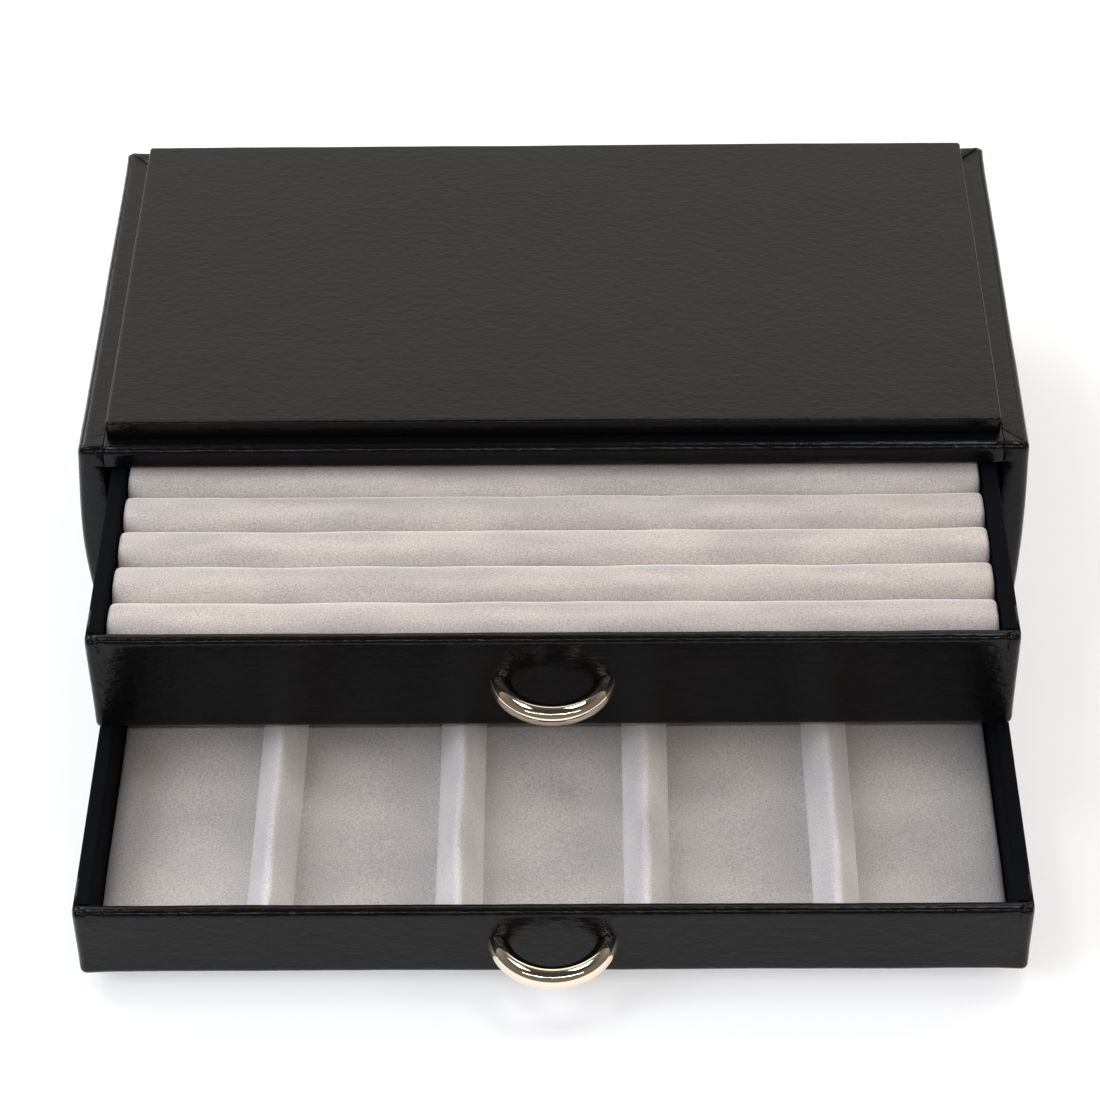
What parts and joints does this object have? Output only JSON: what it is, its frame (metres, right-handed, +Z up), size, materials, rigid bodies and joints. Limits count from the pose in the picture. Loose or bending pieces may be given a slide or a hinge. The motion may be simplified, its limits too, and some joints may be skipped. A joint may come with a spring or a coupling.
{
  "type": "cufflink box with drawers",
  "caption": "Low leather-covered jewellery case with a raised top panel and two drawers on bow pulls: ring rolls above, padded cufflink compartments below.",
  "frame": {"origin": "centre of the case's underside, on the table", "axes": "+X to the right as seen from the front, +Y from the drawers' fronts to the back, +Z up"},
  "size_m": [0.303, 0.3305, 0.088],
  "materials": {
    "leather": "fine-grained, semi-gloss",
    "board": "raw fibreboard",
    "lining": "matt black lining paper",
    "suede_foam": "light grey-beige suede over foam",
    "foam_board": "raw card",
    "base_cloth": "black felt",
    "nickel": "polished nickel",
    "screw_steel": "zinc plated"
  },
  "bodies": {
    "case": {"left_board": "board", "right_board": "board", "top_board": "board", "bottom_board": "board", "back_board": "board", "shelf": "board", "rail_leather": "leather", "sill_leather": "leather", "back_leather": "leather", "side_leather_left": "leather", "side_leather_right": "leather", "panel_board": "board", "panel_leather": "leather", "base_cloth": "base_cloth", "bay_lining_left": "lining", "bay_lining_right": "lining", "bay_floor_lining": "lining"},
    "upper_drawer": {"upper_front_board": "board", "upper_front_leather": "leather", "upper_front_lining": "lining", "upper_left_side": "board", "upper_left_lining": "lining", "upper_right_side": "board", "upper_right_lining": "lining", "upper_back": "board", "upper_back_lining": "lining", "upper_bottom": "board", "upper_pull": "nickel", "upper_pull_screws": "screw_steel", "upper_roll_base": "foam_board", "ring_roll_1": "suede_foam", "ring_roll_2": "suede_foam", "ring_roll_3": "suede_foam", "ring_roll_4": "suede_foam", "ring_roll_5": "suede_foam", "ring_roll_6": "suede_foam", "ring_roll_7": "suede_foam", "ring_roll_8": "suede_foam", "ring_roll_9": "suede_foam"},
    "lower_drawer": {"lower_front_board": "board", "lower_front_leather": "leather", "lower_front_lining": "lining", "lower_left_side": "board", "lower_left_lining": "lining", "lower_right_side": "board", "lower_right_lining": "lining", "lower_back": "board", "lower_back_lining": "lining", "lower_bottom": "board", "lower_pull": "nickel", "lower_pull_screws": "screw_steel", "lower_floor_pad": "suede_foam", "lower_divider_1": "suede_foam", "lower_divider_2": "suede_foam", "lower_divider_3": "suede_foam", "lower_divider_4": "suede_foam"}
  },
  "joints": [
    {"name": "upper_drawer_slide", "type": "slide", "parent": "case", "child": "upper_drawer", "axis": [0, -1, 0], "range_m": [-0.078, 0.073]},
    {"name": "lower_drawer_slide", "type": "slide", "parent": "case", "child": "lower_drawer", "axis": [0, -1, 0], "range_m": [-0.151, 0]}
  ]
}
